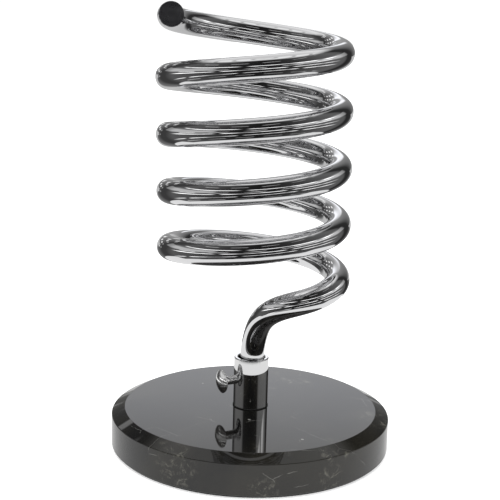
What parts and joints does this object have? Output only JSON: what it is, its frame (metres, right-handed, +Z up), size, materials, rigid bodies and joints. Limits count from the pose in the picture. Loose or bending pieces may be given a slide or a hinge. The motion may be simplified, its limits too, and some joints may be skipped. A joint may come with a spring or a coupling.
{
  "type": "soldering iron stand",
  "caption": "Free-standing spiral holster stand: an open coil of chromed tube held by a thumbscrew in a socket on a round bevelled stone base.",
  "frame": {"origin": "centre of the base's underside, on the surface the stand rests on", "axes": "+Z up through the socket, +X to the right, -Y towards the user; the thumbscrew points left and towards the user"},
  "size_m": [0.15, 0.15, 0.2352],
  "materials": {
    "marble": "polished black marble with pale veins",
    "pad": "matte foam rubber",
    "gasket": "matte",
    "socket_chrome": "mirror",
    "steel": "zinc plated",
    "screw_chrome": "mirror",
    "nylon": "natural nylon",
    "tube_chrome": "mirror",
    "plug": "gloss"
  },
  "bodies": {
    "base": {"marble_base": "marble", "base_pad": "pad", "foot_gasket": "gasket", "socket_tube": "socket_chrome", "socket_floor": "steel", "flat_washer": "steel", "split_washer": "steel", "mounting_bolt": "steel"},
    "screw_tip": {"screw_tip": "nylon"},
    "thumbscrew": {"thumbscrew": "screw_chrome"},
    "stem_foot": {"bottom_end_plug": "plug"},
    "spiral": {"spiral_stem": "tube_chrome", "spiral_turn_1": "tube_chrome", "spiral_turn_2": "tube_chrome", "spiral_turn_3": "tube_chrome", "spiral_turn_4": "tube_chrome", "spiral_open_end": "tube_chrome", "top_end_plug": "plug"}
  },
  "joints": [
    {"name": "screw_travel", "type": "slide", "parent": "base", "child": "screw_tip", "axis": [-0.8746, -0.4848, 0], "range_m": [0, 0.004]},
    {"name": "screw_turn", "type": "hinge", "parent": "screw_tip", "child": "thumbscrew", "pos_m": [0, 0, 0.0366], "axis": [-0.8746, -0.4848, 0], "range_deg": [0, 1800]},
    {"name": "spiral_lift", "type": "slide", "parent": "base", "child": "stem_foot", "axis": [0, 0, 1], "range_m": [0, 0.022]},
    {"name": "spiral_swivel", "type": "hinge", "parent": "stem_foot", "child": "spiral", "pos_m": [0.0005, 0, 0.0307], "axis": [0, 0, 1], "continuous": true}
  ],
  "couplings": [
    {"joint": "screw_turn", "follows": "screw_travel", "rad_per_m": 7854}
  ]
}
